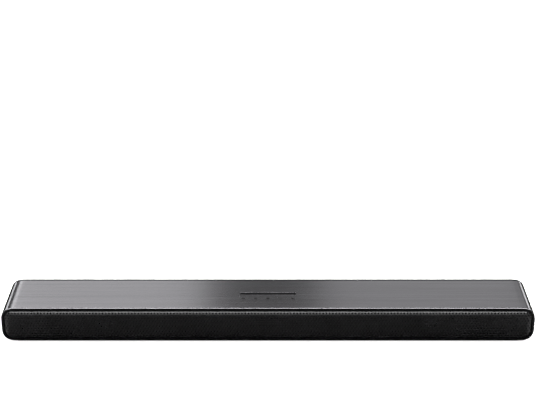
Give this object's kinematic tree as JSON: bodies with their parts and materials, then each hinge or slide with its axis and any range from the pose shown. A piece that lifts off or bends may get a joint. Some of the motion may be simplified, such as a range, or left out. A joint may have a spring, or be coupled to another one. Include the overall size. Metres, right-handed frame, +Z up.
{
  "type": "soundbar",
  "caption": "Long low soundbar: a brushed metal shell round a gloss black bezel and perforated grille, with top keys, racetrack woofers, dome tweeters and rear sockets.",
  "frame": {"origin": "under the middle of the bar, on the surface that its feet stand on", "axes": "+X to the listener's right along the bar, -Y out of the grille towards the listener, +Z up"},
  "size_m": [0.81, 0.1006, 0.0585],
  "materials": {
    "brushed_metal": "fine hairline brushing along the length, satin",
    "gloss_black": "polished",
    "grille_metal": "satin black over perforated sheet",
    "black_plastic": "fine spark texture",
    "dark_plastic": "matte",
    "soft_rubber": "matte",
    "zinc_steel": "zinc plated",
    "bare_aluminium": "sawn and extruded",
    "cone_paper": "pressed fibre",
    "ferrite": "ground ceramic",
    "coated_silk": "sealed weave",
    "circuit_board": "solder mask",
    "copper_winding": "varnished",
    "printed_sleeve": "shrunk sleeve",
    "smoked_lens": "polished",
    "lead_jacket": "satin"
  },
  "bodies": {
    "housing": {"outer_shell": "brushed_metal", "control_panel": "brushed_metal", "front_bezel": "gloss_black", "front_grille": "grille_metal", "bottom_cover": "black_plastic", "rear_panel": "black_plastic", "left_woofer_basket": "black_plastic", "right_woofer_basket": "black_plastic", "left_tweeter_body": "black_plastic", "right_tweeter_body": "black_plastic", "optical_socket": "black_plastic", "line_socket": "black_plastic", "mains_inlet": "black_plastic", "front_baffle": "dark_plastic", "left_chamber_partition": "dark_plastic", "right_chamber_partition": "dark_plastic", "front_left_foot": "soft_rubber", "front_right_foot": "soft_rubber", "rear_left_foot": "soft_rubber", "rear_right_foot": "soft_rubber", "left_woofer_surround": "soft_rubber", "right_woofer_surround": "soft_rubber", "left_wall_hanger": "zinc_steel", "right_wall_hanger": "zinc_steel", "rear_left_screw": "zinc_steel", "rear_middle_screw": "zinc_steel", "rear_right_screw": "zinc_steel", "volume_down_switch": "zinc_steel", "source_switch": "zinc_steel", "power_switch": "zinc_steel", "sound_switch": "zinc_steel", "volume_up_switch": "zinc_steel", "video_socket": "zinc_steel", "data_socket": "zinc_steel", "wireless_module": "zinc_steel", "amplifier_heat_sink": "bare_aluminium", "left_woofer_magnet": "ferrite", "right_woofer_magnet": "ferrite", "main_board": "circuit_board", "power_board": "circuit_board", "key_board": "circuit_board", "display_board": "circuit_board", "transformer": "copper_winding", "mains_capacitor": "printed_sleeve", "status_display": "smoked_lens", "infrared_receiver": "smoked_lens", "left_speaker_lead": "lead_jacket", "right_speaker_lead": "lead_jacket"},
    "left_cone": {"left_woofer_cone": "cone_paper", "left_dust_cap": "cone_paper"},
    "right_cone": {"right_woofer_cone": "cone_paper", "right_dust_cap": "cone_paper"},
    "left_dome": {"left_tweeter_dome": "coated_silk"},
    "right_dome": {"right_tweeter_dome": "coated_silk"},
    "optical_flap": {"optical_shutter": "dark_plastic"},
    "volume_down_key": {"volume_down_key": "brushed_metal"},
    "source_key": {"source_key": "brushed_metal"},
    "power_key": {"power_key": "brushed_metal"},
    "sound_key": {"sound_key": "brushed_metal"},
    "volume_up_key": {"volume_up_key": "brushed_metal"}
  },
  "joints": [
    {"name": "volume_down_key_press", "type": "slide", "parent": "housing", "child": "volume_down_key", "axis": [0, 0, -1], "range_m": [0, 0.0005], "stiffness_N_per_m": 1500, "springref_m": -0.0005},
    {"name": "source_key_press", "type": "slide", "parent": "housing", "child": "source_key", "axis": [0, 0, -1], "range_m": [0, 0.0005], "stiffness_N_per_m": 1500, "springref_m": -0.0005},
    {"name": "power_key_press", "type": "slide", "parent": "housing", "child": "power_key", "axis": [0, 0, -1], "range_m": [0, 0.0005], "stiffness_N_per_m": 1500, "springref_m": -0.0005},
    {"name": "sound_key_press", "type": "slide", "parent": "housing", "child": "sound_key", "axis": [0, 0, -1], "range_m": [0, 0.0005], "stiffness_N_per_m": 1500, "springref_m": -0.0005},
    {"name": "volume_up_key_press", "type": "slide", "parent": "housing", "child": "volume_up_key", "axis": [0, 0, -1], "range_m": [0, 0.0005], "stiffness_N_per_m": 1500, "springref_m": -0.0005},
    {"name": "left_cone_travel", "type": "slide", "parent": "housing", "child": "left_cone", "axis": [0, -1, 0], "range_m": [-0.0025, 0.0025], "stiffness_N_per_m": 2500},
    {"name": "right_cone_travel", "type": "slide", "parent": "housing", "child": "right_cone", "axis": [0, -1, 0], "range_m": [-0.0025, 0.0025], "stiffness_N_per_m": 2500},
    {"name": "left_dome_travel", "type": "slide", "parent": "housing", "child": "left_dome", "axis": [0, -1, 0], "range_m": [-0.0003, 0.0003], "stiffness_N_per_m": 3000},
    {"name": "right_dome_travel", "type": "slide", "parent": "housing", "child": "right_dome", "axis": [0, -1, 0], "range_m": [-0.0003, 0.0003], "stiffness_N_per_m": 3000},
    {"name": "optical_flap_swing", "type": "hinge", "parent": "housing", "child": "optical_flap", "pos_m": [-0.109, 0.03605, 0.0222], "axis": [-1, 0, 0], "range_deg": [0, 78], "stiffness_Nm_per_rad": 0.0004, "springref_deg": -20.05}
  ]
}
